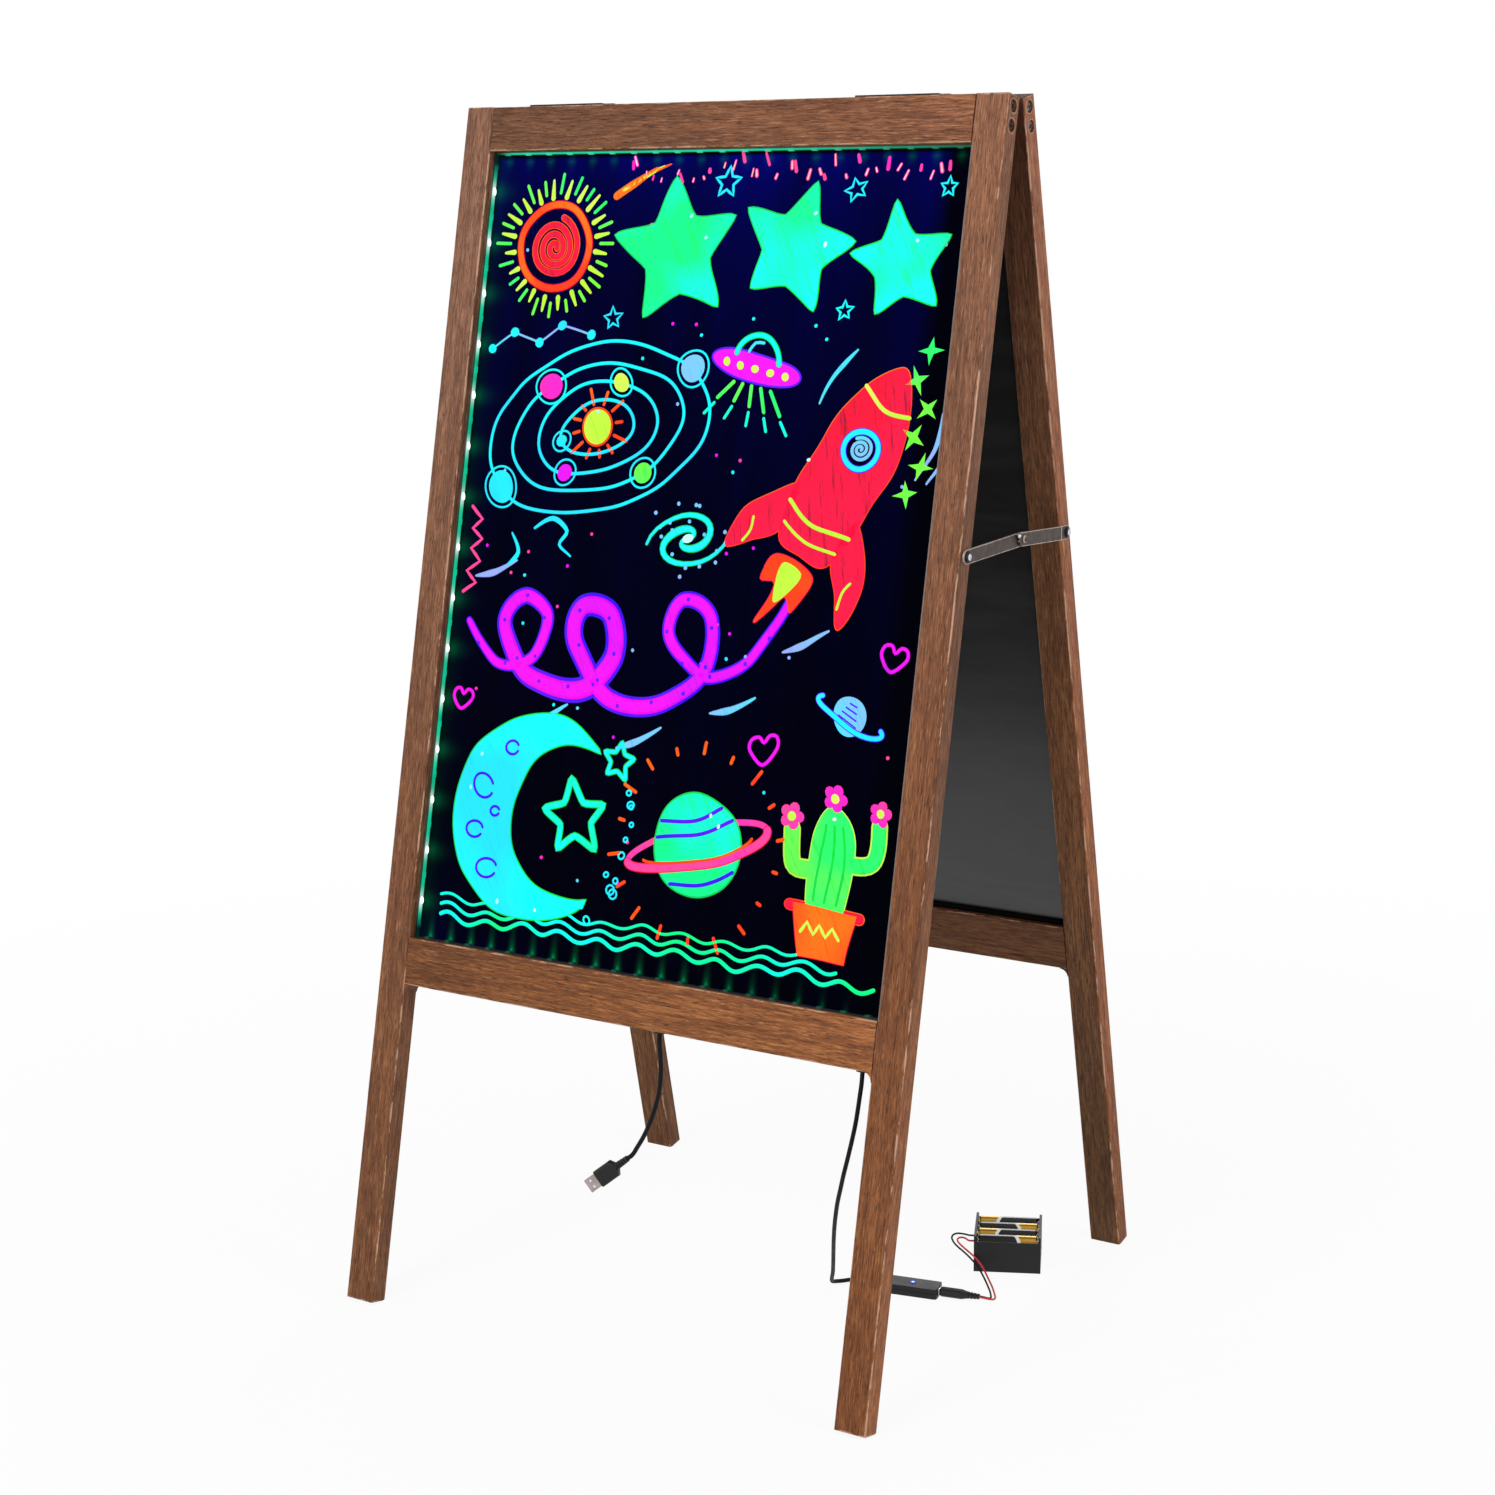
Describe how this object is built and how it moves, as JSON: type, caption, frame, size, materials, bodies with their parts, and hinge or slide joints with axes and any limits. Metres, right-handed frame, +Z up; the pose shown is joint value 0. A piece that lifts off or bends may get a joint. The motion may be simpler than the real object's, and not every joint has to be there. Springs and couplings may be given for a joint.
{
  "type": "chalkboard sign",
  "caption": "Folding wooden A-frame board with an edge-lit writing panel in front, a chalkboard behind, hinges along the top, folding stays, and USB and battery leads.",
  "frame": {"origin": "on the floor, in the middle between the four feet", "axes": "+X to the right as seen from the front, +Y towards the back, +Z up"},
  "size_m": [0.5228, 0.4704, 0.9971],
  "materials": {
    "walnut_stain": "dark walnut stain under a thin satin varnish, worn along the edges",
    "writing_panel": "clear acrylic, polished, black behind",
    "backing_board": "black painted hardboard",
    "chalkboard": "hardboard with dark slate paint, satin",
    "light_strip": "white flexible tape with domed chips",
    "bronzed_steel": "dark bronze plating, satin",
    "bright_steel": "bright zinc",
    "cord_jacket": "black soft jacket, satin",
    "black_plastic": "moulded, fine matt grain",
    "red_jacket": "red lead insulation",
    "button_light": "translucent blue, lit from below",
    "circuit_board": "green solder resist",
    "cell_jacket": "black and gold sleeve, glossy"
  },
  "bodies": {
    "front_frame": {"front_right_stile": "walnut_stain", "front_left_stile": "walnut_stain", "front_top_rail": "walnut_stain", "front_bottom_rail": "walnut_stain", "writing_panel": "writing_panel", "panel_backing": "backing_board", "light_strip_top": "light_strip", "light_strip_bottom": "light_strip", "light_strip_right": "light_strip", "light_strip_left": "light_strip", "hinge_left_front_leaf": "bronzed_steel", "hinge_left_pin": "bright_steel", "hinge_right_front_leaf": "bronzed_steel", "hinge_right_pin": "bright_steel", "stay_left_front_screw": "bright_steel", "stay_right_front_screw": "bright_steel", "usb_cord_gland": "cord_jacket", "power_cord_gland": "cord_jacket", "usb_cord": "cord_jacket", "power_cord": "cord_jacket", "red_lead": "red_jacket", "black_lead": "cord_jacket", "usb_plug_body": "black_plastic", "usb_plug_shell": "bright_steel", "usb_plug_tongue": "black_plastic", "controller_base": "black_plastic", "controller_cover": "black_plastic", "controller_board": "circuit_board", "power_plug": "black_plastic", "lead_plug": "black_plastic", "battery_holder": "black_plastic", "battery_cell_1": "cell_jacket", "battery_cell_2": "cell_jacket", "battery_cell_3": "cell_jacket", "battery_cell_4": "cell_jacket", "battery_cell_5": "cell_jacket", "battery_cell_6": "cell_jacket", "battery_cell_7": "cell_jacket", "battery_cell_8": "cell_jacket"},
    "rear_frame": {"rear_right_stile": "walnut_stain", "rear_left_stile": "walnut_stain", "rear_top_rail": "walnut_stain", "rear_bottom_rail": "walnut_stain", "chalkboard_panel": "chalkboard", "hinge_left_rear_leaf": "bronzed_steel", "hinge_right_rear_leaf": "bronzed_steel"},
    "left_stay_front_half": {"stay_left_front_link": "bronzed_steel", "stay_left_knee_rivet": "bronzed_steel"},
    "left_stay_rear_half": {"stay_left_rear_link": "bronzed_steel", "stay_left_rear_screw": "bright_steel"},
    "right_stay_front_half": {"stay_right_front_link": "bronzed_steel", "stay_right_knee_rivet": "bronzed_steel"},
    "right_stay_rear_half": {"stay_right_rear_link": "bronzed_steel", "stay_right_rear_screw": "bright_steel"},
    "button": {"controller_button": "button_light"}
  },
  "joints": [
    {"name": "fold", "type": "hinge", "parent": "front_frame", "child": "rear_frame", "pos_m": [0, 0, 0.99458], "axis": [-1, 0, 0], "range_deg": [0, 24.4]},
    {"name": "left_stay_front_pivot", "type": "hinge", "parent": "front_frame", "child": "left_stay_front_half", "pos_m": [-0.256, -0.08503, 0.65478], "axis": [1, 0, 0], "range_deg": [0, 40.54]},
    {"name": "left_stay_knee", "type": "hinge", "parent": "left_stay_front_half", "child": "left_stay_rear_half", "pos_m": [-0.256, 0.00541, 0.65828], "axis": [-1, 0, 0], "range_deg": [0, 161.84]},
    {"name": "right_stay_front_pivot", "type": "hinge", "parent": "front_frame", "child": "right_stay_front_half", "pos_m": [0.256, -0.08503, 0.65478], "axis": [1, 0, 0], "range_deg": [0, 40.54]},
    {"name": "right_stay_knee", "type": "hinge", "parent": "right_stay_front_half", "child": "right_stay_rear_half", "pos_m": [0.256, 0.00541, 0.65828], "axis": [-1, 0, 0], "range_deg": [0, 161.84]},
    {"name": "button_press", "type": "slide", "parent": "front_frame", "child": "button", "axis": [0, 0, -1], "range_m": [0, 0.0005], "stiffness_N_per_m": 400}
  ],
  "couplings": [
    {"joint": "left_stay_front_pivot", "follows": "fold", "ratio": 1.6614},
    {"joint": "left_stay_knee", "follows": "fold", "ratio": 6.6327},
    {"joint": "right_stay_front_pivot", "follows": "fold", "ratio": 1.6614},
    {"joint": "right_stay_knee", "follows": "fold", "ratio": 6.6327}
  ]
}
